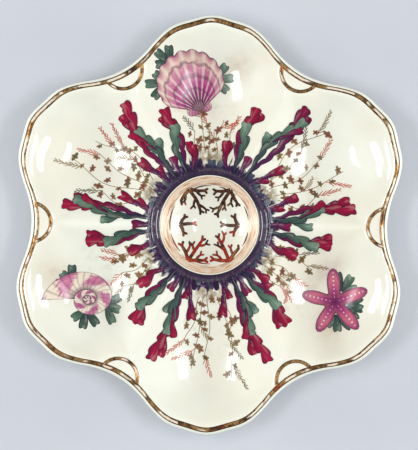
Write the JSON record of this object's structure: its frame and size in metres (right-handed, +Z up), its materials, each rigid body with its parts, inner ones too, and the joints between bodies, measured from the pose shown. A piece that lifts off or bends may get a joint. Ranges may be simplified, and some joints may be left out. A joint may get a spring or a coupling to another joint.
{
  "type": "oyster plate",
  "caption": "Lobed porcelain oyster plate: scooped oyster wells round a raised sauce well, a crimped gilt lip and a foot ring to stand on.",
  "frame": {"origin": "centre of the foot ring's standing face, on the table", "axes": "+Z up along the plate's axis, +Y through the middle of one lobe and its well"},
  "size_m": [0.2102, 0.23, 0.0272],
  "materials": {
    "porcelain": "gloss",
    "foot_porcelain": "satin",
    "gilding": "polished"
  },
  "bodies": {
    "root": {"plate_body": "porcelain", "foot_ring": "foot_porcelain", "rim_gilding": "gilding", "notch_gilding": "gilding", "collar_gilding": "gilding", "coral_gilding": "gilding"}
  },
  "joints": []
}
